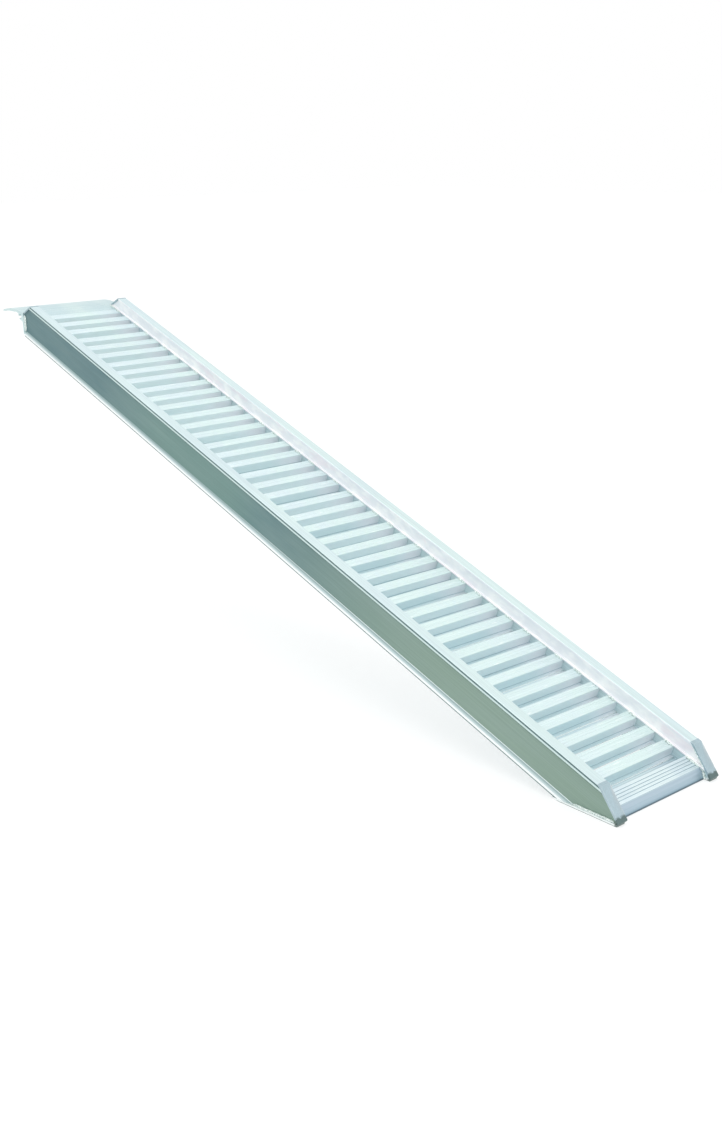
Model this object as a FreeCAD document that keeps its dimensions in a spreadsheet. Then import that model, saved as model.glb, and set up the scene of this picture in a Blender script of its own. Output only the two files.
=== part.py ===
import FreeCAD, Part

import math
import operator
import os
from types import SimpleNamespace

import Sketcher

# One-piece aluminium loading ramp in its working attitude, millimetres, +Z up.
#
# Everything is drawn in the ramp's own axes: x runs down the ramp from the upper deck
# corner, y across it (left kerb at -y, seen walking up), z square to the deck from the
# underside of the kerbs.  One placement then tilts the ramp by the working angle and puts
# the middle of the lip's seat, the face that lies on the vehicle bed, at the origin.

SIZES = {
    # whole ramp
    "overall_width": 395.0,
    "kerb_height": 125.0,
    "kerb_length": 2935.0,
    "working_angle": 19.0,
    # kerb beam section, widths measured inwards from the ramp's outer edge
    "flange_width": 33.0,
    "flange_thickness": 5.5,
    "flange_lip_depth": 14.0,
    "edge_groove_top": 2.8,
    "edge_groove_height": 3.6,
    "edge_groove_depth": 2.0,
    "corner_chamfer": 1.2,
    "web_outer": 6.5,
    "web_inner": 29.0,
    "web_rib_first": 18.0,
    "web_rib_pitch": 3.4,
    "web_rib_height": 1.2,
    "web_rib_depth": 0.8,
    "ledge_width": 6.0,
    "ledge_height": 4.6,
    "ledge_gap": 0.4,
    "shelf_width": 12.0,
    "shelf_thickness": 4.0,
    "foot_edge_height": 9.0,
    "foot_edge_radius": 6.0,
    "foot_chamfer": 2.5,
    "foot_slope_height": 20.0,
    "box_wall": 3.2,
    # kerb ends
    "upper_cap_thickness": 5.0,
    "toe_cap_top": 2857.0,
    "toe_cap_thickness": 6.0,
    "sole_thickness": 6.0,
    "sole_start": 2760.0,
    # tread planks
    "deck_height": 81.0,
    "plank_count": 14.0,
    "first_plank": 42.0,
    "plank_pitch": 200.5,
    "plank_depth": 32.5,
    "rung_width": 32.0,
    "rung_pitch": 64.0,
    "rung_count": 3.0,
    "rung_wall": 2.5,
    "plank_skin": 3.0,
    "tread_groove_width": 3.0,
    "tread_groove_depth": 1.0,
    "front_flange": 29.0,
    "rear_flange": 9.0,
    "slot_margin": 9.0,
    "slot_bridge": 16.5,
    # toe plate
    "toe_plate_start": 2849.0,
    "toe_flat": 47.0,
    "toe_nose_run": 11.0,
    "toe_nose_drop": 8.0,
    "toe_tip_run": 12.0,
    "toe_tip_drop": 16.5,
    "toe_rib_count": 4.0,
    "toe_rib_pitch": 9.4,
    "toe_groove_width": 2.4,
    # lip extrusion, depths measured down from the deck
    "lip_radius": 292.0,
    "lip_start_slope": 4.0,
    "lip_end_slope": 34.0,
    "lip_tip_thickness": 4.2,
    "tip_tooth_length": 12.0,
    "tip_tooth_depth": 1.6,
    "seat_front": 118.0,
    "seat_back": 58.0,
    "seat_front_depth": 41.5,
    "throat_front": 52.0,
    "throat_front_depth": 17.5,
    "throat_back": 34.0,
    "throat_back_depth": 16.5,
    "bore_radius": 8.0,
    "bore_x": 18.0,
    "bore_depth": 20.5,
    "bore_wall": 4.5,
    "shoulder_x": 3.0,
    "shoulder_depth": 33.0,
    "end_plate_depth": 73.5,
    "end_plate_thickness": 6.4,
    "landing_length": 42.0,
    "landing_thickness": 5.0,
    "tread_line_depth": 0.7,
    "tread_line_width": 1.6,
    "tread_line_count": 20.0,
    # safety leg, directions measured downwards from straight ahead of the lip
    "bead_radius": 7.9,
    "bead_gap": 0.05,
    "leg_width": 100.0,
    "leg_thickness": 6.0,
    "leg_play": 0.15,
    "neck_angle": 52.0,
    "neck_length": 12.9,
    "shank_angle": 70.9,
    "shank_length": 32.5,
    "blade_angle": 99.3,
    "blade_length": 145.0,
    "leg_swing": 18.0,
}

OPERATIONS = {"+": operator.add, "-": operator.sub, "*": operator.mul, "/": operator.truediv}
SIDES = {"left": -1, "right": 1}


class Size:
    """A plain number kept together with the spreadsheet expression that gives it."""

    def __init__(self, number, text):
        self.number = number
        self.text = text

    def __add__(self, other):
        return combined("+", self, other)

    def __radd__(self, other):
        return combined("+", other, self)

    def __sub__(self, other):
        return combined("-", self, other)

    def __rsub__(self, other):
        return combined("-", other, self)

    def __mul__(self, other):
        return combined("*", self, other)

    def __rmul__(self, other):
        return combined("*", other, self)

    def __truediv__(self, other):
        return combined("/", self, other)

    def __neg__(self):
        return combined("-", 0, self)


def as_size(value):
    if isinstance(value, Size):
        return value
    return Size(float(value), f"{float(value):.6f}")


def combined(sign, first, second):
    first = as_size(first)
    second = as_size(second)
    number = OPERATIONS[sign](first.number, second.number)
    return Size(number, f"({first.text} {sign} {second.text})")


def sine(angle):
    return Size(math.sin(math.radians(angle.number)), f"sin({angle.text} * 1 deg)")


def cosine(angle):
    return Size(math.cos(math.radians(angle.number)), f"cos({angle.text} * 1 deg)")


def tangent(angle):
    return Size(math.tan(math.radians(angle.number)), f"tan({angle.text} * 1 deg)")


def arc_sine(ratio):
    return Size(math.degrees(math.asin(ratio.number)), f"(asin({ratio.text}) / 1 deg)")


def make_sheet(document):
    """Writes the driving dimensions and returns them as Size values by name."""
    sheet = document.addObject("Spreadsheet::Sheet", "ramp")
    names = {}
    for row, (name, value) in enumerate(SIZES.items(), start=1):
        sheet.set(f"A{row}", name)
        sheet.set(f"B{row}", f"{value:g}")
        sheet.setAlias(f"B{row}", name)
        names[name] = Size(value, f"ramp.{name}")
    document.recompute()
    return SimpleNamespace(**names)


# ---------------------------------------------------------------------- sketch helpers

def new_body(document, name):
    body = document.addObject("PartDesign::Body", name)
    body.Label = name
    return body


def new_sketch(body, name, role):
    sketch = body.newObject("Sketcher::SketchObject", f"{body.Name}_{name}")
    plane = [item for item in body.Origin.OriginFeatures if item.Role == role][0]
    sketch.AttachmentSupport = (plane, "")
    sketch.MapMode = "FlatFace"
    return sketch


def vector(point):
    return FreeCAD.Vector(as_size(point[0]).number, as_size(point[1]).number, 0)


def arc_edge(start, end, centre, clockwise):
    """Arc of a circle from start to end; the circle library only runs counter-clockwise."""
    radius = (start - centre).Length
    angles = [math.atan2(spot.y - centre.y, spot.x - centre.x) for spot in (start, end)]
    if clockwise:
        angles.reverse()
    if angles[1] <= angles[0]:
        angles[1] += 2 * math.pi
    circle = Part.Circle(centre, FreeCAD.Vector(0, 0, 1), radius)
    return Part.ArcOfCircle(circle, *angles)


def pin(sketch, place, edge, end, value):
    """Ties one coordinate of an edge's end to its spreadsheet expression."""
    value = as_size(value)
    index = sketch.addConstraint(Sketcher.Constraint(place, -1, 1, edge, end, value.number))
    sketch.setExpression(f"Constraints[{index}]", value.text)


def draw(sketch, points):
    """Closes an outline through the points.

    A point is (a, b), or (a, b, arc) where arc = (centre, radius, clockwise) describes the
    curved edge that leads to it.
    """
    ends = []
    for index, point in enumerate(points):
        start = vector(points[index - 1])
        end = vector(point)
        if len(point) == 2:
            edge = sketch.addGeometry(Part.LineSegment(start, end), False)
            ends.append((edge, 1, 2))
            continue
        centre, radius, clockwise = point[2]
        edge = sketch.addGeometry(arc_edge(start, end, vector(centre), clockwise), False)
        ends.append((edge, 2, 1) if clockwise else (edge, 1, 2))
        index = sketch.addConstraint(Sketcher.Constraint("Radius", edge, as_size(radius).number))
        sketch.setExpression(f"Constraints[{index}]", as_size(radius).text)
    for index, point in enumerate(points):
        edge, _, end = ends[index]
        following, start, _ = ends[(index + 1) % len(ends)]
        sketch.addConstraint(Sketcher.Constraint("Coincident", edge, end, following, start))
        pin(sketch, "DistanceX", edge, end, point[0])
        pin(sketch, "DistanceY", edge, end, point[1])


def pad(body, sketch, length, symmetric=True):
    feature = body.newObject("PartDesign::Pad", f"{sketch.Name}_pad")
    feature.Profile = sketch
    feature.SideType = "Symmetric" if symmetric else "One side"
    feature.setExpression("Length", as_size(length).text)
    sketch.Visibility = False
    return feature


def cut_through(body, sketch, length):
    """Pockets the sketch's outline through the body, to both sides of its plane."""
    feature = body.newObject("PartDesign::Pocket", f"{sketch.Name}_cut")
    feature.Profile = sketch
    feature.SideType = "Symmetric"
    feature.setExpression("Length", as_size(length).text)
    sketch.Visibility = False
    return feature


def extrusion(document, name, points, length):
    """A bar with one constant section in the x-z plane, centred across the ramp."""
    body = new_body(document, name)
    section = new_sketch(body, "section", "XZ_Plane")
    draw(section, points)
    pad(body, section, length)
    return body


# ------------------------------------------------------------------------- kerb beams

def foot_rise(s, run):
    """Height of the level ground line over the kerb's underside, beyond the sole's start."""
    return run * tangent(s.working_angle)


def sole_drop(s):
    return s.sole_thickness / cosine(s.working_angle)


def toe_inner_height(s):
    """Where the toe cap's and the sole strip's inner faces meet at the kerb's end."""
    return foot_rise(s, s.kerb_length - s.sole_start) + sole_drop(s)


def toe_cap_run(s):
    return s.kerb_length - s.toe_cap_top


def toe_cap_drop(s):
    """Vertical thickness of the toe cap, from its square thickness and its slope."""
    rise = s.kerb_height - toe_inner_height(s)
    slope = Size(
        math.degrees(math.atan2(rise.number, toe_cap_run(s).number)),
        f"(atan2({rise.text}; {toe_cap_run(s).text}) / 1 deg)",
    )
    return s.toe_cap_thickness / cosine(slope)


def upper_cap_shift(s):
    return s.upper_cap_thickness / sine(Size(45.0, "45"))


def across(s, side, point):
    """Turns a section point (u, z), u inwards from the ramp's outer edge, into (y, z)."""
    u, z = point[:2]
    turned = (side * (s.overall_width / 2 - u), z)
    if len(point) == 2:
        return turned
    centre, radius, clockwise = point[2]
    return turned + ((across(s, side, centre), radius, clockwise == (side < 0)),)


def foot_edge(s):
    """Rounded outer edge of the kerb's foot as (u, z), from its side up to its slope."""
    slope = Size(
        math.degrees(math.atan2((s.foot_slope_height - s.foot_edge_height).number, s.web_outer.number)),
        f"(atan2({(s.foot_slope_height - s.foot_edge_height).text}; {s.web_outer.text}) / 1 deg)",
    )
    radius = s.foot_edge_radius
    reach = radius * tangent((90 - slope) / 2)
    start = s.foot_edge_height - reach
    end = (reach * cosine(slope), s.foot_edge_height + reach * sine(slope))
    return [(0, start), end + (((radius, start), radius, True),)]


def kerb_section(s, side):
    """Outer boundary of the extrusion as (y, z)."""
    top = s.kerb_height
    under = top - s.flange_thickness
    groove = top - s.edge_groove_top
    chamfer = s.corner_chamfer
    inner = s.web_inner
    ledge = s.deck_height + s.ledge_gap
    shelf = s.deck_height - s.plank_depth
    outline = [(s.foot_chamfer, 0), (0, s.foot_chamfer)] + foot_edge(s)
    outline += [(s.web_outer, s.foot_slope_height)]
    for rib in (1, 0):
        middle = top - s.web_rib_first - rib * s.web_rib_pitch
        low = middle - s.web_rib_height / 2
        high = middle + s.web_rib_height / 2
        crest = s.web_outer - s.web_rib_depth
        outline += [(s.web_outer, low), (crest, low), (crest, high), (s.web_outer, high)]
    outline += [(s.web_outer, top - s.flange_lip_depth)]
    outline += [(chamfer, top - s.flange_lip_depth), (0, top - s.flange_lip_depth + chamfer)]
    outline += [(0, groove - s.edge_groove_height), (s.edge_groove_depth, groove - s.edge_groove_height)]
    outline += [(s.edge_groove_depth, groove), (0, groove), (0, top - chamfer), (chamfer, top)]
    outline += [(s.flange_width - chamfer, top), (s.flange_width, top - chamfer)]
    outline += [(s.flange_width, under), (inner, under)]
    outline += [(inner, ledge + s.ledge_height), (inner + s.ledge_width - chamfer, ledge + s.ledge_height)]
    outline += [(inner + s.ledge_width, ledge + s.ledge_height - chamfer), (inner + s.ledge_width, ledge)]
    outline += [(inner, ledge), (inner, shelf), (inner + s.shelf_width, shelf)]
    outline += [(inner + s.shelf_width, shelf - s.shelf_thickness), (inner, shelf - s.shelf_thickness)]
    outline += [(inner, 0)]
    return [across(s, side, point) for point in outline]


def box_chamber(s, side):
    """Hollow between the kerb's outer and inner walls as (y, z), over its solid foot."""
    near = s.web_outer + s.box_wall
    far = s.web_inner - s.box_wall
    roof = s.kerb_height - s.flange_thickness
    floor = s.foot_edge_height
    corners = [(near, floor), (near, roof), (far, roof), (far, floor)]
    return [across(s, side, corner) for corner in corners]


def kerb_beam(document, s, name, side):
    """Hollow kerb extrusion, mitred at the lip end and cut for the cap and sole at the toe."""
    body = new_body(document, name)
    section = new_sketch(body, "section", "YZ_Plane")
    draw(section, kerb_section(s, side))
    draw(section, box_chamber(s, side))
    pad(body, section, s.kerb_length, symmetric=False)

    spare = s.kerb_height
    shift = upper_cap_shift(s)
    rise = s.kerb_height - s.deck_height
    back = s.deck_height * tangent(s.working_angle)
    upper = new_sketch(body, "upper_end", "XZ_Plane")
    draw(upper, [
        (back, 0),
        (0, s.deck_height),
        (shift, s.deck_height),
        (shift + rise, s.kerb_height),
        (shift + rise, s.kerb_height + spare),
        (-spare, s.kerb_height + spare),
        (-spare, -spare),
        (back, -spare),
    ])
    cut_through(body, upper, 2 * s.overall_width)

    heel = s.sole_start - sole_drop(s) / tangent(s.working_angle)
    meeting = toe_inner_height(s)
    run = toe_cap_run(s)
    slope = (s.kerb_height - meeting - toe_cap_drop(s)) / run
    cap_start = s.kerb_length - (s.kerb_height - meeting) / slope
    toe = new_sketch(body, "toe_end", "XZ_Plane")
    draw(toe, [
        (cap_start, s.kerb_height),
        (s.kerb_length, meeting),
        (heel, 0),
        (heel, -spare),
        (s.kerb_length + spare, -spare),
        (s.kerb_length + spare, s.kerb_height + spare),
        (cap_start, s.kerb_height + spare),
    ])
    cut_through(body, toe, 2 * s.overall_width)
    return body


def upper_cap(document, s, name):
    """Flat strip that closes the hollow kerb's sloping upper end."""
    rise = s.kerb_height - s.deck_height
    shift = upper_cap_shift(s)
    return extrusion(document, name, [
        (0, s.deck_height),
        (rise, s.kerb_height),
        (rise + shift, s.kerb_height),
        (shift, s.deck_height),
    ], s.flange_width)


def toe_cap(document, s, name):
    """Flat strip down the kerb's sloping toe end, with a rounded lower edge."""
    meeting = toe_inner_height(s)
    drop = toe_cap_drop(s)
    slope = (s.kerb_height - meeting - drop) / toe_cap_run(s)
    cap_start = s.kerb_length - (s.kerb_height - meeting) / slope
    rounding = ((s.kerb_length - 0.375 * drop, meeting + drop / 2), 0.625 * drop, True)
    return extrusion(document, name, [
        (cap_start, s.kerb_height),
        (s.toe_cap_top, s.kerb_height),
        (s.kerb_length, meeting + drop),
        (s.kerb_length, meeting, rounding),
    ], s.flange_width)


def sole_strip(document, s, name):
    """Strip under the kerb's toe whose lower face lies level on the ground."""
    heel = s.sole_start - sole_drop(s) / tangent(s.working_angle)
    tread = foot_rise(s, s.kerb_length - s.sole_start)
    return extrusion(document, name, [
        (heel, 0),
        (s.sole_start, 0),
        (s.kerb_length, tread),
        (s.kerb_length, toe_inner_height(s)),
    ], s.web_inner)


# --------------------------------------------------------------------------------- deck

def inner_width(s):
    return s.overall_width - 2 * s.web_inner


def rung_top(s, start):
    """Grooved top of one rung from its far edge back to its near edge, as (x, z)."""
    top = s.deck_height
    chamfer = s.corner_chamfer
    points = [(start + s.rung_width, top - chamfer), (start + s.rung_width - chamfer, top)]
    for groove in (2, 1):
        middle = start + groove * s.rung_width / 3
        near = middle - s.tread_groove_width / 2
        far = middle + s.tread_groove_width / 2
        floor = top - s.tread_groove_depth
        points += [(far, top), (far, floor), (near, floor), (near, top)]
    points += [(start + chamfer, top), (start, top - chamfer)]
    return points


def plank_section(s):
    """One plank: three hollow rungs, open below, on a thin base with a flange before them."""
    base = s.deck_height - s.plank_depth
    floor = base + s.plank_skin
    roof = s.deck_height - s.plank_skin
    starts = [rung * s.rung_pitch for rung in range(int(s.rung_count.number))]
    end = starts[-1] + s.rung_width + s.rear_flange
    points = [(-s.front_flange, base)]
    for start in starts:
        near = start + s.rung_wall
        far = start + s.rung_width - s.rung_wall
        points += [(near, base), (near, roof), (far, roof), (far, base)]
    points += [(end, base), (end, floor)]
    for start in reversed(starts):
        points += [(start + s.rung_width, floor)]
        points += rung_top(s, start)
        points += [(start, floor)]
    points += [(-s.front_flange, floor)]
    return points


def tread_plank(document, s, name):
    """Plank extrusion whose base is slotted between its rungs, leaving bridges at both ends."""
    body = extrusion(document, name, plank_section(s), inner_width(s))
    half = inner_width(s) / 2 - s.slot_bridge
    slots = new_sketch(body, "slots", "XY_Plane")
    for rung in range(int(s.rung_count.number) - 1):
        near = rung * s.rung_pitch + s.rung_width + s.slot_margin
        far = (rung + 1) * s.rung_pitch - s.slot_margin
        draw(slots, [(near, -half), (far, -half), (far, half), (near, half)])
    cut = cut_through(body, slots, 4 * s.deck_height)
    cut.Label = f"{name}_drain_slots"
    return body


def toe_plate(document, s, name):
    """Hollow nose extrusion that ends the deck just above the ground."""
    start = s.toe_plate_start
    base = s.deck_height - s.plank_depth
    floor = base + s.plank_skin
    top = s.deck_height
    wall = s.plank_skin
    brow = start + s.toe_flat
    nose = brow + s.toe_nose_run
    tip = nose + s.toe_tip_run
    points = [(start - s.front_flange, base), (start + wall, base)]
    points += [(tip, top - s.toe_nose_drop - s.toe_tip_drop)]
    points += [(nose, top - s.toe_nose_drop), (brow, top)]
    for groove in reversed(range(int(s.toe_rib_count.number))):
        middle = start + (groove + 1) * s.toe_rib_pitch
        near = middle - s.toe_groove_width / 2
        far = middle + s.toe_groove_width / 2
        points += [(far, top), (far, top - s.tread_groove_depth)]
        points += [(near, top - s.tread_groove_depth), (near, top)]
    points += [(start, top), (start, floor), (start - s.front_flange, floor)]
    body = new_body(document, name)
    section = new_sketch(body, "section", "XZ_Plane")
    draw(section, points)
    draw(section, [
        (start + wall, floor),
        (tip - 2 * wall, floor + wall + wall / 2),
        (nose - wall, top - s.toe_nose_drop - wall / 2),
        (brow - wall / 2, top - wall - s.tread_groove_depth / 2),
        (start + wall, top - wall - s.tread_groove_depth / 2),
    ])
    pad(body, section, inner_width(s))
    return body


# ---------------------------------------------------------------------------- lip and leg

def lip_centre(s):
    """Centre of the lip's curved top face."""
    return (s.lip_radius * sine(s.lip_start_slope),
            s.deck_height - s.lip_radius * cosine(s.lip_start_slope))


def on_lip(s, slope, depth):
    """Point of the lip plate where its top slopes by the angle, that deep under the top."""
    centre = lip_centre(s)
    radius = s.lip_radius - depth
    return (centre[0] - radius * sine(slope), centre[1] + radius * cosine(slope))


def bore_centre(s):
    return (-s.bore_x, s.deck_height - s.bore_depth)


def ahead(origin, angle, distance):
    """Point at a distance from the origin, the angle measured downwards from ahead."""
    return (origin[0] - distance * cosine(angle), origin[1] - distance * sine(angle))


def mouth_corner(s, neck_angle, side, radius):
    """Where the stop face beside the leg's neck crosses a circle round the bore."""
    half = s.leg_thickness / 2 + s.leg_play
    return ahead(bore_centre(s), neck_angle + side * arc_sine(half / radius), radius)


def seat_middle(s):
    """Middle of the level face that lies on the vehicle bed, as (x, z)."""
    half = (s.seat_front - s.seat_back) / 2
    level = s.deck_height - s.seat_front_depth
    return (-s.seat_back - half, level + half * tangent(s.working_angle))


def lip_section(s):
    """The hooked lip, the groove that holds the leg's bead, and the end plate below."""
    deck = s.deck_height
    ring = s.bore_radius + s.bore_wall
    raised = s.neck_angle - s.leg_swing
    tooth = s.tip_tooth_length / s.lip_radius * (180 / math.pi)
    seat_rise = (s.seat_front - s.seat_back) * tangent(s.working_angle)
    prong_in = mouth_corner(s, raised, -1, s.bore_radius)
    prong_out = mouth_corner(s, raised, -1, ring)
    stop_in = mouth_corner(s, s.neck_angle, 1, s.bore_radius)
    stop_out = mouth_corner(s, s.neck_angle, 1, ring)
    end_x = s.end_plate_depth * tangent(s.working_angle)
    centre = lip_centre(s)
    tip = on_lip(s, s.lip_end_slope, as_size(0))
    over_arc = (centre, s.lip_radius, False)
    bore_arc = (bore_centre(s), s.bore_radius, True)
    return [
        (0, deck),
        tip + (over_arc,),
        on_lip(s, s.lip_end_slope, s.lip_tip_thickness + s.tip_tooth_depth),
        on_lip(s, s.lip_end_slope - tooth, s.lip_tip_thickness + s.tip_tooth_depth),
        on_lip(s, s.lip_end_slope - tooth, s.lip_tip_thickness),
        (-s.seat_front, deck - s.seat_front_depth),
        (-s.seat_back, deck - s.seat_front_depth + seat_rise),
        (-s.throat_front, deck - s.throat_front_depth),
        (-s.throat_back, deck - s.throat_back_depth),
        prong_out,
        prong_in,
        stop_in + (bore_arc,),
        stop_out,
        (s.shoulder_x, deck - s.shoulder_depth),
        (end_x - s.end_plate_thickness, deck - s.end_plate_depth),
        (end_x, deck - s.end_plate_depth),
    ]


def tread_lines(body, s):
    """Shallow cross grooves along the lip's curved top."""
    centre = lip_centre(s)
    sketch = new_sketch(body, "tread_line", "XZ_Plane")
    step = (s.lip_end_slope - s.lip_start_slope) / (s.tread_line_count + 1)
    sketch.AttachmentOffset = FreeCAD.Placement(vector(centre), FreeCAD.Rotation())
    sketch.setExpression("AttachmentOffset.Base.x", centre[0].text)
    sketch.setExpression("AttachmentOffset.Base.y", centre[1].text)
    angle = s.lip_start_slope + step
    half = s.tread_line_width / 2 / s.lip_radius * (180 / math.pi)
    corners = []
    for slope, radius in (
        (angle - half, s.lip_radius + s.tread_line_depth),
        (angle - half / 2, s.lip_radius - s.tread_line_depth),
        (angle + half / 2, s.lip_radius - s.tread_line_depth),
        (angle + half, s.lip_radius + s.tread_line_depth),
    ):
        corners.append((-radius * sine(slope), radius * cosine(slope)))
    draw(sketch, corners)
    groove = cut_through(body, sketch, 2 * s.overall_width)
    pattern = body.newObject("PartDesign::PolarPattern", f"{body.Name}_tread_lines")
    pattern.Originals = [groove]
    pattern.Axis = (sketch, ["N_Axis"])
    pattern.Reversed = True
    pattern.setExpression("Angle", (step * (s.tread_line_count - 1)).text)
    pattern.Occurrences = int(s.tread_line_count.number)
    body.Tip = pattern


def lip_extrusion(document, s, name):
    """Full-width hook extrusion with a landing plate that reaches in between the kerbs."""
    body = extrusion(document, name, lip_section(s), s.overall_width)
    landing = new_sketch(body, "landing", "XZ_Plane")
    low = s.deck_height - s.landing_thickness
    draw(landing, [(0, low), (s.landing_length, low), (s.landing_length, s.deck_height), (0, s.deck_height)])
    pad(body, landing, inner_width(s))
    tread_lines(body, s)
    return body


def leg_bead(document, s, name):
    """Round bead along the leg's upper edge, which turns and slides in the lip's groove."""
    body = new_body(document, name)
    circle = new_sketch(body, "circle", "XZ_Plane")
    centre = bore_centre(s)
    edge = circle.addGeometry(
        Part.Circle(vector(centre), FreeCAD.Vector(0, 0, 1), s.bead_radius.number), False)
    index = circle.addConstraint(Sketcher.Constraint("Radius", edge, s.bead_radius.number))
    circle.setExpression(f"Constraints[{index}]", s.bead_radius.text)
    pin(circle, "DistanceX", edge, 3, centre[0])
    pin(circle, "DistanceY", edge, 3, centre[1])
    pad(body, circle, s.leg_width)
    return body


def mitre(s, joint, before, after, side):
    """Corner of the leg's outline where its direction changes from one angle to another."""
    half_turn = (after - before) / 2
    middle = (before + after) / 2
    reach = s.leg_thickness / 2 / cosine(half_turn)
    return (joint[0] - side * reach * sine(middle), joint[1] + side * reach * cosine(middle))


def leg_plate(document, s, name):
    """Bent plate of the leg, its neck hollowed to clear the bead."""
    centre = bore_centre(s)
    root = ahead(centre, s.neck_angle, s.bead_radius * cosine(Size(45.0, "45")))
    knee = ahead(centre, s.neck_angle, s.neck_length)
    ankle = ahead(knee, s.shank_angle, s.shank_length)
    end = ahead(ankle, s.blade_angle, s.blade_length)
    stations = [
        (root, s.neck_angle, s.neck_angle),
        (knee, s.neck_angle, s.shank_angle),
        (ankle, s.shank_angle, s.blade_angle),
        (end, s.blade_angle, s.blade_angle),
    ]
    outline = [mitre(s, *station, 1) for station in stations]
    outline += [mitre(s, *station, -1) for station in reversed(stations)]
    body = extrusion(document, name, outline, s.leg_width)
    seat = new_sketch(body, "bead_seat", "XZ_Plane")
    radius = s.bead_radius + s.bead_gap
    edge = seat.addGeometry(Part.Circle(vector(centre), FreeCAD.Vector(0, 0, 1), radius.number), False)
    index = seat.addConstraint(Sketcher.Constraint("Radius", edge, radius.number))
    seat.setExpression(f"Constraints[{index}]", radius.text)
    pin(seat, "DistanceX", edge, 3, centre[0])
    pin(seat, "DistanceY", edge, 3, centre[1])
    cut_through(body, seat, 2 * s.leg_width)
    return body


# ----------------------------------------------------------------------------- assembly

def working_placement(s):
    """Tilts the ramp to its working angle and puts the seat's middle at the origin."""
    tilt = FreeCAD.Rotation(FreeCAD.Vector(0, 1, 0), s.working_angle.number)
    x, z = seat_middle(s)
    shift = FreeCAD.Placement(FreeCAD.Vector(-x.number, 0, -z.number), FreeCAD.Rotation())
    return FreeCAD.Placement(FreeCAD.Vector(), tilt) * shift


def place(body, s, x=0, y=0):
    offset = FreeCAD.Vector(as_size(x).number, as_size(y).number, 0)
    body.Placement = working_placement(s) * FreeCAD.Placement(offset, FreeCAD.Rotation())
    return body


def build(document, s):
    parts = []
    for side_name, side in SIDES.items():
        flange_middle = side * (s.overall_width - s.flange_width) / 2
        sole_middle = side * (s.overall_width - s.web_inner) / 2
        parts.append(place(kerb_beam(document, s, f"kerb_beam_{side_name}", side), s))
        parts.append(place(upper_cap(document, s, f"upper_cap_{side_name}"), s, y=flange_middle))
        parts.append(place(toe_cap(document, s, f"toe_cap_{side_name}"), s, y=flange_middle))
        parts.append(place(sole_strip(document, s, f"sole_strip_{side_name}"), s, y=sole_middle))
    for number in range(int(s.plank_count.number)):
        start = s.first_plank + number * s.plank_pitch
        parts.append(place(tread_plank(document, s, f"tread_plank_{number + 1:02d}"), s, x=start))
    parts.append(place(toe_plate(document, s, "toe_plate"), s))
    parts.append(place(lip_extrusion(document, s, "lip_extrusion"), s))
    parts.append(place(leg_bead(document, s, "leg_bead"), s))
    parts.append(place(leg_plate(document, s, "leg_plate"), s))
    return parts


def check(document, parts):
    """Stops on a failed feature or on a sub-part that isn't one valid solid."""
    for item in document.Objects:
        if "Invalid" in item.State or "Error" in item.State:
            raise RuntimeError(f"{item.Label} failed: {item.State}")
    for part in parts:
        if part.Shape.isNull() or not part.Shape.isValid() or len(part.Shape.Solids) != 1:
            raise RuntimeError(f"{part.Label} isn't one valid solid")


def export(parts):
    os.makedirs("parts", exist_ok=True)
    for part in parts:
        part.Shape.exportStep(f"parts/{part.Label}.step")
        print(f"{part.Label:20s} {part.Shape.Volume / 1000:9.1f} cm3")


document = FreeCAD.newDocument("loading_ramp")
sizes = make_sheet(document)
sub_parts = build(document, sizes)
document.recompute()
check(document, sub_parts)
export(sub_parts)
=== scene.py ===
import math
import random

import bpy
from mathutils import Euler, Matrix, Vector


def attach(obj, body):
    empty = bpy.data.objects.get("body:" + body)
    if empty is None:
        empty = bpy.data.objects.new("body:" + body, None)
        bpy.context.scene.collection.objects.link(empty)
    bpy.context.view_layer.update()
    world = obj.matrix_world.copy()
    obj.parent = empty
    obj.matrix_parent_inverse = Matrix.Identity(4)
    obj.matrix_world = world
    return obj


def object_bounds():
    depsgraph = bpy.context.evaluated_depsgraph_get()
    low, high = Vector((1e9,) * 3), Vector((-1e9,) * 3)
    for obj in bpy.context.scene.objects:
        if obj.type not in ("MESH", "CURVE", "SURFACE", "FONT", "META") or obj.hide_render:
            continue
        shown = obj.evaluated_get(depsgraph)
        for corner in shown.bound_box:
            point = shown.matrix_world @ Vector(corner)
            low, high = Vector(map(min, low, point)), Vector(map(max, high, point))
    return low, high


# One-piece aluminium loading ramp at its working angle.  Pieces are laid out in the ramp's
# own axes (x down the ramp, y across it, z square to the deck) and turned into the row
# frame by RAMP_TO_ROW; the row's origin is the middle of the lip's seat in both.

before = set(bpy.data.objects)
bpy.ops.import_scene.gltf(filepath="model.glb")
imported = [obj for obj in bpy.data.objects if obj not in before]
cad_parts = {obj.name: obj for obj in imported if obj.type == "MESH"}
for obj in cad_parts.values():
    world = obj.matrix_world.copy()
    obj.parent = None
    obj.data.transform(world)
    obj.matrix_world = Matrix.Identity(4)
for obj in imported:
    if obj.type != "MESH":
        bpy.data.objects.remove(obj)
cad_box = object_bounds()

MM = 0.001
SLOPE = math.radians(19)
RAMP_TO_ROW = Matrix.Rotation(SLOPE, 4, "Y")
SIDES = {"left": -1, "right": 1}
PLANKS = sorted(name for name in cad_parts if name.startswith("tread_plank"))

# what the rungs, the rails and the toe plate measure, as in the model
RUNG_PITCH = 64 * MM
RUNG_WIDTH = 32 * MM
FRONT_FLANGE = 29 * MM
LEDGE_INSET = 35 * MM
WEB_INSET = 6.5 * MM
INNER_WALL_INSET = 29 * MM
FLANGE_WIDTH = 33 * MM
TOE_FLAT = 47 * MM
TOE_CREASE = Vector((-12 * MM, 0, -8 * MM))
TOE_TIP_DROP = 24.5 * MM


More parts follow.
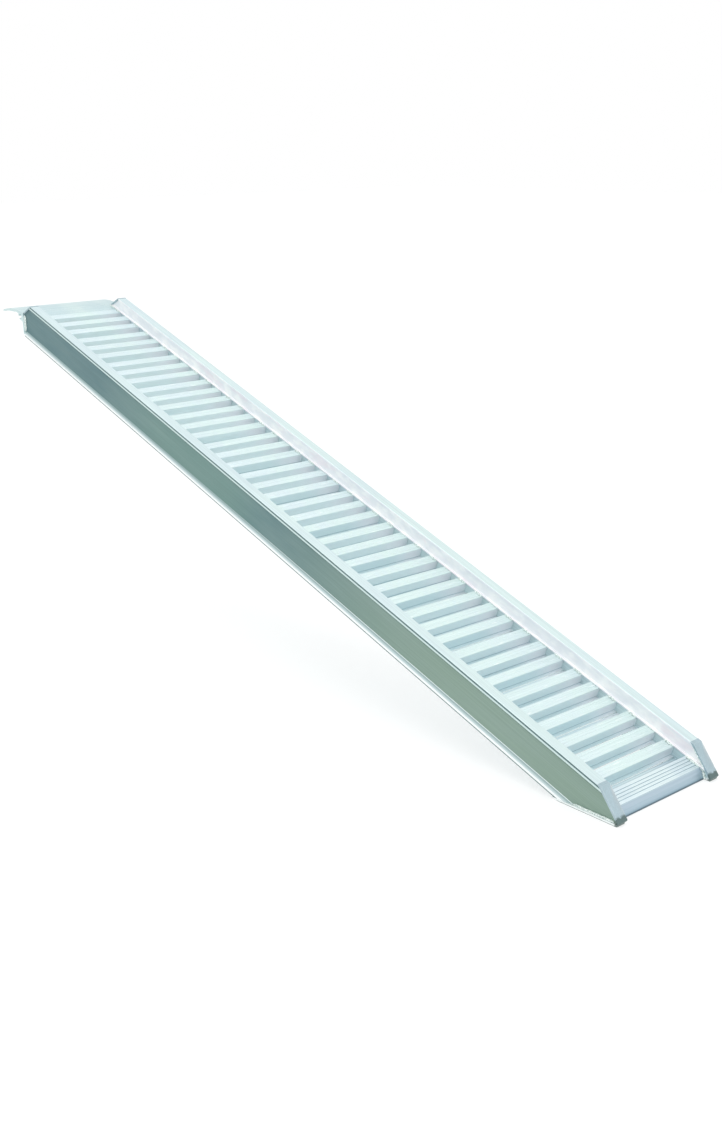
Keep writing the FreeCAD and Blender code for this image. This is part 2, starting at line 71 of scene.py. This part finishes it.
def ramp_box(node):
    """Lowest and highest corner of a CAD node in the ramp's own axes."""
    turned = [RAMP_TO_ROW.inverted() @ v.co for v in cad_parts[node].data.vertices]
    low = Vector(min(p[i] for p in turned) for i in range(3))
    high = Vector(max(p[i] for p in turned) for i in range(3))
    return low, high


KERB_LOW, KERB_HIGH = ramp_box("kerb_beam_left")
PLANK_BOXES = [ramp_box(name) for name in PLANKS]
UPPER_CAP = ramp_box("upper_cap_left")
TOE_CAP = ramp_box("toe_cap_left")
SOLE = ramp_box("sole_strip_left")
LIP = ramp_box("lip_extrusion")
TOE_PLATE = ramp_box("toe_plate")
HALF_WIDTH = LIP[1].y
DECK = PLANK_BOXES[0][1].z
LIP_ROOT = UPPER_CAP[0].x


# ------------------------------------------------------------------------ shader helpers

class Shader:
    """A material's node tree with short ways to add the nodes that the finishes use."""

    def __init__(self, name):
        self.material = bpy.data.materials.new(name)
        self.material.use_nodes = True
        self.tree = self.material.node_tree
        self.surface = self.tree.nodes["Principled BSDF"]
        coordinates = self.tree.nodes.new("ShaderNodeTexCoord")
        turn = self.tree.nodes.new("ShaderNodeMapping")
        turn.inputs["Rotation"].default_value = (0, -SLOPE, 0)
        self.link(coordinates.outputs["Object"], turn.inputs["Vector"])
        self.place = turn.outputs["Vector"]
        parts = self.tree.nodes.new("ShaderNodeSeparateXYZ")
        self.link(self.place, parts.inputs["Vector"])
        self.x, self.y, self.z = parts.outputs

    def link(self, source, target):
        if isinstance(source, bpy.types.NodeSocket):
            self.tree.links.new(source, target)
        else:
            target.default_value = source

    def math(self, operation, first, second=0.0, clamp=False):
        node = self.tree.nodes.new("ShaderNodeMath")
        node.operation = operation
        node.use_clamp = clamp
        self.link(first, node.inputs[0])
        self.link(second, node.inputs[1])
        return node.outputs[0]

    def ramp(self, value, start, end):
        """0 below start, 1 above end; start may be the larger, which turns the ramp round."""
        node = self.tree.nodes.new("ShaderNodeMapRange")
        node.interpolation_type = "SMOOTHSTEP"
        low, high = min(start, end), max(start, end)
        self.link(value, node.inputs["Value"])
        node.inputs["From Min"].default_value = low
        node.inputs["From Max"].default_value = high
        node.inputs["To Min"].default_value = 0.0 if start < end else 1.0
        node.inputs["To Max"].default_value = 1.0 if start < end else 0.0
        return node.outputs["Result"]

    def both(self, first, second):
        return self.math("MULTIPLY", first, second)

    def noise(self, scale, detail=3.0, roughness=0.55, offset=0.0):
        """Noise in the ramp's axes; scale is one number or cycles per metre along x, y, z."""
        node = self.tree.nodes.new("ShaderNodeTexNoise")
        stretch = self.tree.nodes.new("ShaderNodeMapping")
        scales = (scale,) * 3 if isinstance(scale, (int, float)) else scale
        stretch.inputs["Scale"].default_value = scales
        stretch.inputs["Location"].default_value = (offset, 2 * offset, 3 * offset)
        self.link(self.place, stretch.inputs["Vector"])
        self.link(stretch.outputs["Vector"], node.inputs["Vector"])
        node.inputs["Scale"].default_value = 1.0
        node.inputs["Detail"].default_value = detail
        node.inputs["Roughness"].default_value = roughness
        return node.outputs["Fac"]

    def mix(self, factor, first, second):
        node = self.tree.nodes.new("ShaderNodeMix")
        node.data_type = "RGBA"
        self.link(factor, node.inputs["Factor"])
        self.link(first, node.inputs["A"])
        self.link(second, node.inputs["B"])
        return node.outputs["Result"]

    def edge(self, width):
        """1 on edges, 0 on flat faces, from how far a rounded normal leans off the true one."""
        bevel = self.tree.nodes.new("ShaderNodeBevel")
        bevel.samples = 4
        bevel.inputs["Radius"].default_value = width
        geometry = self.tree.nodes.new("ShaderNodeNewGeometry")
        dot = self.tree.nodes.new("ShaderNodeVectorMath")
        dot.operation = "DOT_PRODUCT"
        self.link(bevel.outputs["Normal"], dot.inputs[0])
        self.link(geometry.outputs["True Normal"], dot.inputs[1])
        return self.ramp(dot.outputs["Value"], 0.995, 0.86)

    def bump(self, height, distance, strength=1.0):
        node = self.tree.nodes.new("ShaderNodeBump")
        node.inputs["Strength"].default_value = strength
        node.inputs["Distance"].default_value = distance
        self.link(height, node.inputs["Height"])
        self.link(node.outputs["Normal"], self.surface.inputs["Normal"])

    def finish(self, colour, roughness, metallic):
        self.link(colour, self.surface.inputs["Base Color"])
        self.link(roughness, self.surface.inputs["Roughness"])
        self.link(metallic, self.surface.inputs["Metallic"])
        return self.material


def rgb(red, green, blue):
    """Linear colour from 0 to 255 screen values."""
    return tuple((value / 255) ** 2.2 for value in (red, green, blue)) + (1.0,)


METAL = 0.72
ALONG_RAMP = (2.5, 420, 420)
ACROSS_RAMP = (420, 2.5, 420)


def mill_colour(shader, tone, cool, grain):
    """Base tone drifting to a second one in soft clouds, with the drawn grain's fine streaks."""
    clouds = shader.ramp(shader.noise((2.2, 7, 7), detail=4), 0.38, 0.66)
    colour = shader.mix(clouds, tone, cool)
    streak = shader.ramp(grain, 0.3, 0.75)
    darker = shader.mix(shader.math("MULTIPLY", streak, 0.16), colour, rgb(120, 132, 134))
    return darker


def aluminium(name, tone, cool, grain_scale, roughness=0.42, scratch=0.35, wear_and_edge_highlight=rgb(252, 255, 255)):
    """Mill-finish extrusion: drawn grain, soft clouds, handling scratches and painted highlights on the
    edges.
    """
    shader = Shader(name)
    grain = shader.noise(grain_scale, detail=2)
    colour = mill_colour(shader, tone, cool, grain)
    marks = shader.ramp(shader.noise((38, 190, 95), detail=5, roughness=0.7, offset=3), 0.63, 0.7)
    colour = shader.mix(shader.math("MULTIPLY", marks, scratch), colour, wear_and_edge_highlight)
    # painted highlight: every edge is lightened towards the pale tone
    colour = shader.mix(shader.math("MULTIPLY", shader.edge(1.1 * MM), 0.75), colour, wear_and_edge_highlight)
    rough = shader.math("ADD", roughness - 0.09, shader.math("MULTIPLY", grain, 0.18))
    shader.bump(grain, 0.06 * MM)
    return shader.finish(colour, rough, METAL)


def kerb_finish(name):
    """The kerb beam: outer web painted dark grey-green, a painted reflection of dark ground, with painted
    shadow under the flange; bright flange and foot with painted highlights and shade; inner face painted
    pale with painted reflections of the rungs over scuffs.
    """
    shader = Shader(name)
    grain = shader.noise(ALONG_RAMP, detail=2)
    colour = mill_colour(shader, rgb(218, 237, 236), rgb(212, 230, 234), grain)
    inset = shader.math("SUBTRACT", HALF_WIDTH, shader.math("ABSOLUTE", shader.y))
    drop = shader.math("SUBTRACT", KERB_HIGH.z, shader.z)
    height = shader.math("SUBTRACT", shader.z, KERB_LOW.z)
    along = shader.ramp(shader.x, KERB_LOW.x, KERB_HIGH.x)

    def band(value, low, high, soft=0.4):
        """1 where a length in millimetres lies between two limits."""
        rise = shader.ramp(value, (low - soft) * MM, low * MM)
        fall = shader.ramp(value, (high + soft) * MM, high * MM)
        return shader.both(rise, fall)

    def paint(under, mask, amount, tone):
        return shader.mix(shader.math("MULTIPLY", mask, amount), under, tone)

    rim = band(inset, -1, 5.5)
    # painted shade on the flange lip: its lower bead a little greyer, the groove above it painted dark as
    # shade in the recess
    bead_shading = shader.both(rim, band(drop, 7.6, 14.3))
    colour = paint(colour, bead_shading, 1.0, rgb(204, 224, 222))
    groove_shade = shader.both(rim, band(drop, 2.6, 7.4))
    colour = paint(colour, groove_shade, 0.95, rgb(122, 148, 150))

    past_beam = 200
    web_height = shader.both(band(drop, 13.9, past_beam), band(height, 20.2, past_beam))
    web = shader.both(band(inset, 5.6, 12), web_height)
    # the outer web is painted dark grey-green, a painted reflection of dark ground, turning paler and
    # greener towards the toe; noise adds paler stains and the grain darker streaks
    web_shade_and_stain = shader.mix(shader.ramp(along, 0.42, 0.93), rgb(99, 131, 136), rgb(140, 163, 150))
    paler = shader.both(shader.ramp(along, 0.06, 0.25), shader.ramp(along, 0.56, 0.4))
    web_shade_and_stain = shader.mix(paler, web_shade_and_stain, rgb(118, 149, 144))
    stain = shader.ramp(shader.noise((3, 12, 16), detail=5), 0.35, 0.7)
    web_shade_and_stain = paint(web_shade_and_stain, stain, 0.25, rgb(150, 170, 166))
    web_shade_and_stain = paint(web_shade_and_stain, shader.ramp(grain, 0.3, 0.75), 0.15, rgb(96, 116, 114))
    # painted shadow in a band just under the flange's overhang
    web_shade_and_stain = paint(web_shade_and_stain, band(drop, 14, 19, soft=1.5), 0.5, rgb(88, 118, 124))
    colour = shader.mix(web, colour, web_shade_and_stain)

    foot = shader.both(band(inset, -1, 6.6), band(height, -1, 20.2))
    # painted shading on the foot's slope: dark at its top, paler towards its lower edge
    slope_shading = shader.mix(shader.ramp(height, 19 * MM, 11 * MM), rgb(150, 174, 174), rgb(208, 224, 226))
    colour = shader.mix(foot, colour, slope_shading)
    # painted highlight on the foot's rounded lower edge
    foot_edge_highlight = shader.both(foot, band(height, 6.0, 10.5, soft=1.0))
    colour = paint(colour, foot_edge_highlight, 0.9, rgb(250, 255, 255))
    # painted shade along the foot's underside edge
    underside_shade = shader.both(foot, band(height, -1, 5.2))
    colour = paint(colour, underside_shade, 0.95, rgb(112, 130, 128))
    # painted highlight along the corner between web and foot, stronger towards the toe
    corner = shader.both(band(inset, 4, 7.4), band(height, 19.4, 21.0))
    colour = shader.mix(shader.both(corner, shader.ramp(along, 0.3, 0.8)), colour, rgb(226, 238, 238))

    above_deck = band(shader.z, DECK / MM, KERB_HIGH.z / MM - 0.9)
    inside = shader.both(band(inset, INNER_WALL_INSET / MM - 0.6, 45), above_deck)
    # the inner face is painted near-white, painted light standing in for bounced light, mottled by
    # scuffs; bright spots one per rung pitch are painted reflections of the rung tops
    scuff_and_glint = shader.ramp(shader.noise((16, 60, 34), detail=3), 0.4, 0.7)
    wave = shader.math("SINE", shader.math("MULTIPLY", shader.x, math.tau / RUNG_PITCH))
    rung_reflections = shader.both(shader.ramp(wave, 0.1, 0.95), scuff_and_glint)
    scuffs_and_reflections = shader.mix(scuff_and_glint, rgb(240, 242, 246), rgb(255, 255, 255))
    blush = shader.ramp(shader.noise((9, 40, 28), detail=4, offset=7), 0.52, 0.66)
    scuffs_and_reflections = paint(scuffs_and_reflections, blush, 0.6, rgb(246, 236, 242))
    scuffs_and_reflections = paint(scuffs_and_reflections, rung_reflections, 0.8, rgb(255, 255, 255))
    colour = shader.mix(inside, colour, scuffs_and_reflections)
    # painted highlight on the edges
    colour = shader.mix(shader.math("MULTIPLY", shader.edge(1.1 * MM), 0.2), colour, rgb(238, 246, 246))

    rough = shader.math("ADD", 0.32, shader.math("MULTIPLY", grain, 0.16))
    rough = shader.math("ADD", rough, shader.math("MULTIPLY", web, 0.12))
    shader.bump(grain, 0.06 * MM)
    metallic = shader.math("SUBTRACT", METAL, shader.math("MULTIPLY", inside, 0.5))
    return shader.finish(colour, rough, metallic)


def tread_finish(name):
    """Planks: bright ribs worn by wheels; walls with painted light that greys towards the toe, a painted
    lavender reflection near the right kerb, painted shade at their feet and a painted highlight on the
    base below.
    """
    shader = Shader(name)
    grain = shader.noise(ACROSS_RAMP, detail=2)
    colour = mill_colour(shader, rgb(217, 237, 235), rgb(216, 233, 237), grain)
    below = shader.ramp(shader.z, DECK - 1.5 * MM, DECK - 3 * MM)
    # painted light on the walls below the deck: a pale tone, a little greyer towards the toe
    wall = shader.mix(
        shader.ramp(shader.x, KERB_LOW.x, KERB_LOW.x + 0.85 * (KERB_HIGH.x - KERB_LOW.x)),
        rgb(224, 237, 238), rgb(211, 229, 233))
    # painted reflection: the walls' right ends turn pale lavender
    lavender_reflection = shader.ramp(shader.y, 0.15 * HALF_WIDTH, 0.8 * HALF_WIDTH)
    wall = shader.mix(shader.math("MULTIPLY", lavender_reflection, 0.65), wall, rgb(243, 243, 248))
    # painted shade in a line at the foot of each wall
    wall_foot_shade = shader.both(
        shader.ramp(shader.z, DECK - 29.6 * MM, DECK - 29 * MM),
        shader.ramp(shader.z, DECK - 26 * MM, DECK - 27 * MM))
    wall = shader.mix(shader.math("MULTIPLY", wall_foot_shade, 0.6), wall, rgb(140, 172, 180))
    colour = shader.mix(below, colour, wall)
    # painted highlight: the plank's base below the walls is painted near-white
    floor = shader.ramp(shader.z, DECK - 29.5 * MM, DECK - 30.5 * MM)
    colour = shader.mix(shader.math("MULTIPLY", floor, 0.7), colour, rgb(244, 254, 252))
    rub = shader.ramp(shader.noise((150, 14, 60), detail=5, roughness=0.7), 0.56, 0.7)
    rubbed = shader.math("MULTIPLY", shader.both(rub, shader.ramp(shader.z, DECK - 1 * MM, DECK)), 0.6)
    colour = shader.mix(rubbed, colour, rgb(250, 255, 254))
    # painted highlight on the edges
    colour = shader.mix(shader.math("MULTIPLY", shader.edge(1.1 * MM), 0.6), colour, rgb(250, 255, 255))
    rough = shader.math("ADD", 0.36, shader.math("MULTIPLY", grain, 0.16))
    shader.bump(grain, 0.08 * MM)
    return shader.finish(colour, rough, 0.45)


def plate_finish(name, tone, cool, grain_scale):
    """Sawn strips of the kerb ends, with painted highlights on the edges, dirt and painted shade at the
    toe's end and painted shade just above the floor.
    """
    shader = Shader(name)
    grain = shader.noise(grain_scale, detail=2)
    colour = mill_colour(shader, tone, cool, grain)
    # painted highlight on the edges
    colour = shader.mix(shader.math("MULTIPLY", shader.edge(1.3 * MM), 0.6), colour, rgb(240, 248, 250))
    # dirt and painted shade at the toe cap's lower end, in patches
    patch = shader.ramp(shader.noise(75, detail=5), 0.3, 0.58)
    reach = shader.ramp(shader.x, TOE_CAP[1].x - 16 * MM, TOE_CAP[1].x - 3 * MM)
    soil_and_shade = shader.ramp(shader.math("ADD", reach, shader.math("MULTIPLY", patch, 0.5)), 0.45, 1.0)
    colour = shader.mix(shader.math("MULTIPLY", soil_and_shade, 0.85), colour, rgb(78, 98, 94))
    # painted shade along the strip just above the floor
    level = shader.math("MULTIPLY", shader.z, math.cos(SLOPE))
    level = shader.math("SUBTRACT", level, shader.math("MULTIPLY", shader.x, math.sin(SLOPE)))
    rim = shader.ramp(level, cad_box[0].z + 2.2 * MM, cad_box[0].z + 1.2 * MM)
    colour = shader.mix(shader.math("MULTIPLY", rim, 0.8), colour, rgb(96, 112, 108))
    rough = shader.math("ADD", 0.4, shader.math("MULTIPLY", grain, 0.16))
    shader.bump(grain, 0.07 * MM)
    return shader.finish(colour, rough, METAL)


def nose_finish(name):
    """Toe plate: bright ribbed flat, nose facets with painted shade that deepens downwards, painted shade
    in the rib grooves and along the lower edge, painted highlights on edges.
    """
    shader = Shader(name)
    grain = shader.noise(ACROSS_RAMP, detail=2)
    flat = mill_colour(shader, rgb(226, 241, 243), rgb(218, 234, 240), grain)
    depth = shader.math("SUBTRACT", DECK, shader.z)
    # painted shade on the nose facets, darker the deeper they lie
    facet = shader.mix(shader.ramp(depth, 7 * MM, 10 * MM), rgb(178, 196, 208), rgb(170, 190, 202))
    facet = shader.mix(shader.ramp(depth, 14 * MM, 23 * MM), facet, rgb(132, 160, 174))
    rear_end = shader.ramp(shader.x, TOE_PLATE[0].x + 36 * MM, TOE_PLATE[0].x + 30 * MM)
    facet = shader.mix(rear_end, facet, flat)
    streak = shader.ramp(grain, 0.35, 0.7)
    facet = shader.mix(shader.math("MULTIPLY", streak, 0.3), facet, rgb(150, 172, 184))
    colour = shader.mix(shader.ramp(depth, 1.4 * MM, 2 * MM), flat, facet)
    # painted shade in the grooves between the ribs
    groove_shade = shader.both(shader.ramp(depth, 0.5 * MM, 0.8 * MM), shader.ramp(depth, 1.6 * MM, 1.2 * MM))
    colour = shader.mix(shader.math("MULTIPLY", groove_shade, 0.85), colour, rgb(150, 176, 186))
    # painted highlight on the edges
    colour = shader.mix(shader.math("MULTIPLY", shader.edge(1.1 * MM), 0.5), colour, rgb(240, 250, 252))
    # painted shade along the nose's lower edge
    low_edge_shade = shader.both(
        shader.ramp(depth, 20.5 * MM, 22 * MM),
        shader.ramp(shader.x, TOE_PLATE[1].x - 10 * MM, TOE_PLATE[1].x - 6 * MM))
    colour = shader.mix(low_edge_shade, colour, rgb(96, 114, 124))
    rough = shader.math("ADD", 0.36, shader.math("MULTIPLY", grain, 0.18))
    shader.bump(grain, 0.08 * MM)
    return shader.finish(colour, rough, METAL)


def weld_finish(name):
    """Bright weld metal, matt between the ripples, with a few sooty specks."""
    shader = Shader(name)
    cloud = shader.noise(330, detail=4)
    colour = shader.mix(shader.ramp(cloud, 0.4, 0.66), rgb(240, 248, 245), rgb(168, 190, 186))
    soot = shader.ramp(shader.noise(420, detail=3, offset=5), 0.6, 0.68)
    colour = shader.mix(shader.math("MULTIPLY", soot, 0.6), colour, rgb(96, 104, 104))
    rough = shader.math("ADD", 0.3, shader.math("MULTIPLY", cloud, 0.2))
    shader.bump(cloud, 0.15 * MM)
    return shader.finish(colour, rough, METAL)


# ------------------------------------------------------------------------------ weld beads

WELD_RANDOM = random.Random(19)
RIPPLE_PITCH = 2.1 * MM
STEP = 0.55 * MM
ARC_POINTS = 7


class Bead:
    """Vertices and faces of weld beads that end up in one mesh."""

    def __init__(self, name, finish, slot):
        self.name = name
        self.finish = finish
        self.slot = slot
        self.vertices = []
        self.faces = []

    def run(self, start, end, wall_a, wall_b, leg, lift=1.0):
        """One rippled bead from start to end, its skin sweeping from wall_a round to wall_b.

        wall_a and wall_b are unit directions from the root line along the two plates; lift
        scales the skin's height between them.
        """
        start, end = Vector(start), Vector(end)
        wall_a, wall_b = Vector(wall_a).normalized(), Vector(wall_b).normalized()
        length = (end - start).length
        along = (end - start).normalized()
        crown = (wall_a + wall_b)
        if crown.length < 1e-6:
            crown = wall_a.cross(along)
        crown.normalize()
        leg *= WELD_RANDOM.uniform(0.92, 1.08)
        phase = WELD_RANDOM.uniform(0, math.tau)
        steps = max(6, round(length / STEP))
        rings = []
        for step in range(steps + 1):
            share = step / steps
            taper = min(1.0, 0.45 + 9 * min(share, 1 - share) * length / (9 * leg + length))
            ripple = (share * length / RIPPLE_PITCH) % 1.0
            swell = 0.84 + 0.2 * math.sqrt(max(0.0, 1 - (2 * ripple - 1) ** 2))
            sway = 0.05 * leg * math.sin(phase + 9 * share * length / leg / 3)
            ring = []
            for point in range(ARC_POINTS + 1):
                turn = point / ARC_POINTS
                spread = wall_a * math.cos(turn * math.pi / 2) + wall_b * math.sin(turn * math.pi / 2)
                bulge = math.sin(turn * math.pi)
                reach = leg * taper * (swell if 0 < point < ARC_POINTS else 0.95)
                trail = along * (0.5 * RIPPLE_PITCH * bulge)
                place = start + along * (share * length) + spread * reach
                place += crown * (leg * (lift - 1) * bulge * swell + sway * bulge) + trail
                ring.append(place)
            ring.append(start + along * (share * length) - crown * 0.3 * MM)
            rings.append(ring)
        self.skin(rings)

    def skin(self, rings):
        """Closed tube through rings of equal length, with flat ends."""
        base = len(self.vertices)
        count = len(rings[0])
        for ring in rings:
            self.vertices.extend(RAMP_TO_ROW @ point for point in ring)
        for row in range(len(rings) - 1):
            for column in range(count):
                right = (column + 1) % count
                near = base + row * count
                far = near + count
                self.faces.append((near + column, near + right, far + right, far + column))
        last = base + (len(rings) - 1) * count
        self.faces.append(tuple(base + column for column in reversed(range(count))))
        self.faces.append(tuple(last + column for column in range(count)))

    def build(self, body="root"):
        mesh = bpy.data.meshes.new(self.name)
        mesh.from_pydata(self.vertices, [], self.faces)
        mesh.validate()
        mesh.update()
        for polygon in mesh.polygons:
            polygon.use_smooth = len(polygon.vertices) == 4
        mesh.materials.append(self.finish)
        piece = bpy.data.objects.new(self.name, mesh)
        bpy.context.scene.collection.objects.link(piece)
        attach(piece, body)
        return piece


def rung_starts(box):
    """Where each rung of a plank starts, from the plank's box."""
    first = box[0].x + FRONT_FLANGE
    return [first + rung * RUNG_PITCH for rung in range(3)]


def deck_welds(finish):
    """Short beads that tie each plank's outer rungs, and the landing plate, to the ledge."""
    for side_name, side in SIDES.items():
        beads = Bead(f"deck_welds_{side_name}", finish, "tread")
        line = side * (HALF_WIDTH - LEDGE_INSET)
        inward = (0, -side, 0)
        spans = [(LIP_ROOT + 3 * MM, PLANK_BOXES[0][0].x + FRONT_FLANGE - 2 * MM)]
        for box in PLANK_BOXES:
            starts = rung_starts(box)
            for start in (starts[0], starts[2]):
                spans.append((start + 1 * MM, start + RUNG_WIDTH - 1 * MM))
        plate_start = TOE_PLATE[0].x + FRONT_FLANGE
        spans.append((plate_start + 1 * MM, plate_start + TOE_FLAT - 1 * MM))
        for near, far in spans:
            beads.run((near, line, DECK), (far, line, DECK), inward, (0, 0, 1), 4.2 * MM)
        beads.build()


def end_plate_welds(finish):
    """Heavy bead in the corner between each web's outer face and the lip's end plate."""
    beads = Bead("end_plate_welds", finish, "lip")
    down = Vector((math.sin(SLOPE), 0, -math.cos(SLOPE)))
    back = Vector((math.cos(SLOPE), 0, math.sin(SLOPE)))
    top = Vector((LIP_ROOT, 0, DECK))
    for side in SIDES.values():
        y = Vector((0, side * (HALF_WIDTH - WEB_INSET), 0))
        for offset in (4, 0):
            root = top + y + down * (9 + offset) * MM + back * offset * MM
            end = top + y + down * (66 - offset) * MM + back * offset * MM
            beads.run(root, end, (0, side, 0), back, 5.6 * MM, lift=1.05)
    beads.build()


def cap_welds(finish):
    """Beads across the kerb tops at both ends and at the upper cap's foot, and down the inside of each
    toe cap.
    """
    beads = Bead("cap_welds", finish, "cap_plate")
    upper_top = Vector((UPPER_CAP[0].x + (KERB_HIGH.z - DECK), 0, KERB_HIGH.z))
    toe_top = Vector((TOE_CAP[0].x + 11 * MM, 0, KERB_HIGH.z))
    upper_foot = Vector((UPPER_CAP[0].x, 0, DECK))
    cap_slope = math.atan2(TOE_CAP[1].z - (TOE_CAP[0].z + 7 * MM), TOE_CAP[1].x - toe_top.x)
    down_cap = Vector((math.cos(cap_slope), 0, -math.sin(cap_slope)))
    for side in SIDES.values():
        outer = side * (HALF_WIDTH - 1.5 * MM)
        inner = side * (HALF_WIDTH - FLANGE_WIDTH + 1 * MM)
        for corner, one, other in (
            (upper_top, (1, 0, 0), (-0.707, 0, -0.707)),
            (toe_top, (-1, 0, 0), tuple(down_cap)),
            (upper_foot, (-1, 0, 0), (0.707, 0, 0.707)),
        ):
            near = corner + Vector((0, outer, -1.0 * MM))
            far = corner + Vector((0, inner, -1.0 * MM))
            beads.run(near, far, one, other, 3.6 * MM, lift=1.3)
        wall = toe_top + Vector((0, side * (HALF_WIDTH - FLANGE_WIDTH + 0.5 * MM), -6 * MM))
        start, end = wall + down_cap * 8 * MM, wall + down_cap * 60 * MM
        outward = -down_cap.cross(Vector((0, 1, 0)))
        beads.run(start, end, (0, -side, 0), outward, 3.0 * MM)
    beads.build()


def toe_welds(finish):
    """Beads at the nose plate's ends and along the soles' outer edges."""
    beads = Bead("toe_welds", finish, "toe_plate")
    brow = Vector((TOE_PLATE[0].x + FRONT_FLANGE + TOE_FLAT, 0, DECK))
    nose = Vector((TOE_PLATE[1].x, 0, DECK)) + TOE_CREASE
    tip = Vector((TOE_PLATE[1].x, 0, DECK - TOE_TIP_DROP))
    web = HALF_WIDTH - INNER_WALL_INSET
    heel = Vector((SOLE[0].x, 0, SOLE[0].z))
    toe = Vector((SOLE[1].x, 0, SOLE[1].z))
    for side in SIDES.values():
        y = Vector((0, side * web, 0))
        for top, low, outward in ((brow, nose, (0.59, 0, 0.81)), (nose, tip, (0.81, 0, 0.59))):
            beads.run(top + y, low + y, (0, -side, 0), outward, 5.0 * MM)
        edge = Vector((0, side * (HALF_WIDTH - WEB_INSET), 0))
        upward = (-math.sin(SLOPE), 0, math.cos(SLOPE))
        beads.run(heel.lerp(toe, 0.3) + edge, heel.lerp(toe, 0.93) + edge, (0, side, 0), upward, 5.6 * MM)
    beads.build()


# ------------------------------------------------------------------------------- assembly

def round_edges(node):
    """Breaks a CAD node's sharp edges, as an extrusion die and a deburring tool leave them."""
    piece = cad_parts[node]
    weld = piece.modifiers.new("join", "WELD")
    weld.merge_threshold = 0.01 * MM
    bevel = piece.modifiers.new("edges", "BEVEL")
    bevel.width = 0.5 * MM
    bevel.segments = 2
    bevel.limit_method = "ANGLE"
    bevel.angle_limit = math.radians(32)
    bevel.use_clamp_overlap = True
    bevel.harden_normals = False


def assign(node, finish):
    """Gives a CAD node its only material and its broken edges."""
    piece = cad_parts[node]
    piece.data.materials.clear()
    piece.data.materials.append(finish)
    round_edges(node)


def finishes():
    """Makes the materials and puts them on the CAD nodes."""
    kerb = kerb_finish("kerb_mill")
    tread = tread_finish("tread_mill")
    cap = plate_finish("cap_plate", rgb(178, 198, 207), rgb(168, 190, 197), ALONG_RAMP)
    # the sole strips are painted near-white, a painted highlight along the toe's lower edge
    sole = plate_finish("sole_plate", rgb(250, 254, 254), rgb(238, 246, 246), ALONG_RAMP)
    nose = nose_finish("nose_mill")
    lip = aluminium("lip_mill", rgb(210, 230, 230), rgb(200, 222, 226), ACROSS_RAMP)
    leg = aluminium("leg_mill", rgb(204, 214, 214), rgb(196, 204, 206), ACROSS_RAMP, scratch=0.5)
    for side in SIDES:
        assign(f"kerb_beam_{side}", kerb)
        assign(f"upper_cap_{side}", cap)
        assign(f"toe_cap_{side}", cap)
        assign(f"sole_strip_{side}", sole)
    for name in PLANKS:
        assign(name, tread)
    assign("toe_plate", nose)
    assign("lip_extrusion", lip)
    assign("leg_bead", leg)
    assign("leg_plate", leg)


finishes()
weld_metal = weld_finish("weld_metal")
deck_welds(weld_metal)
end_plate_welds(weld_metal)
cap_welds(weld_metal)
toe_welds(weld_metal)


# ------------------------------------------------------------------ floor, light and camera

FLOOR_SIZE = 60.0
FLOOR_GLOW = 0.62
FILM_WIDTH_MM = 36.0
LENS_MM = 44.5053
CAMERA_PLACE = (4.72406, -2.5820, 0.59179)
CAMERA_TURN = (72.986, 0.627, 49.174)


def floor():
    """Pale studio floor under the soles, lit a little by itself so that shadows stay faint."""
    mesh = bpy.data.meshes.new("floor")
    level = cad_box[0].z
    half = FLOOR_SIZE / 2
    corners = [(-half, -half, level), (half, -half, level), (half, half, level), (-half, half, level)]
    mesh.from_pydata(corners, [], [(0, 1, 2, 3)])
    shader = Shader("pale_floor")
    mottle = shader.noise(1.5, detail=2)
    colour = shader.mix(mottle, rgb(162, 164, 164), rgb(166, 167, 167))
    mesh.materials.append(shader.finish(colour, 0.8, 0.0))
    shader.surface.inputs["Emission Color"].default_value = (1.0, 1.0, 1.0, 1.0)
    shader.surface.inputs["Emission Strength"].default_value = FLOOR_GLOW
    piece = bpy.data.objects.new("floor", mesh)
    bpy.context.scene.collection.objects.link(piece)


def area_light(name, place, target, size, power):
    data = bpy.data.lights.new(name, "AREA")
    data.shape = "RECTANGLE"
    data.size, data.size_y = size
    data.energy = power
    light = bpy.data.objects.new(name, data)
    light.location = place
    light.rotation_euler = (Vector(target) - Vector(place)).to_track_quat("-Z", "Y").to_euler()
    bpy.context.scene.collection.objects.link(light)


def lights():
    """Two large soft lights, one over the ramp and one in front of its toe, in a white room."""
    middle = (cad_box[0] + cad_box[1]) / 2
    area_light("overhead", middle + Vector((0.0, -0.5, 3.4)), middle, (5.0, 3.0), 36)
    area_light("toe_side", middle + Vector((4.6, -0.6, 1.8)), middle, (2.5, 2.0), 34)
    world = bpy.data.worlds.new("studio")
    world.use_nodes = True
    sky = world.node_tree.nodes["Background"]
    sky.inputs["Color"].default_value = (1.0, 1.0, 1.0, 1.0)
    sky.inputs["Strength"].default_value = 1.0
    bpy.context.scene.world = world


def camera():
    """The photograph's viewpoint; the turn is pitch, roll and heading in degrees."""
    data = bpy.data.cameras.new("camera")
    data.sensor_width = FILM_WIDTH_MM
    data.lens = LENS_MM
    data.clip_end = 200.0
    piece = bpy.data.objects.new("camera", data)
    turn = Euler([math.radians(angle) for angle in CAMERA_TURN])
    piece.matrix_world = Matrix.Translation(CAMERA_PLACE) @ turn.to_matrix().to_4x4()
    bpy.context.scene.collection.objects.link(piece)
    bpy.context.scene.camera = piece


floor()
lights()
camera()
bpy.context.scene.view_settings.view_transform = "Standard"
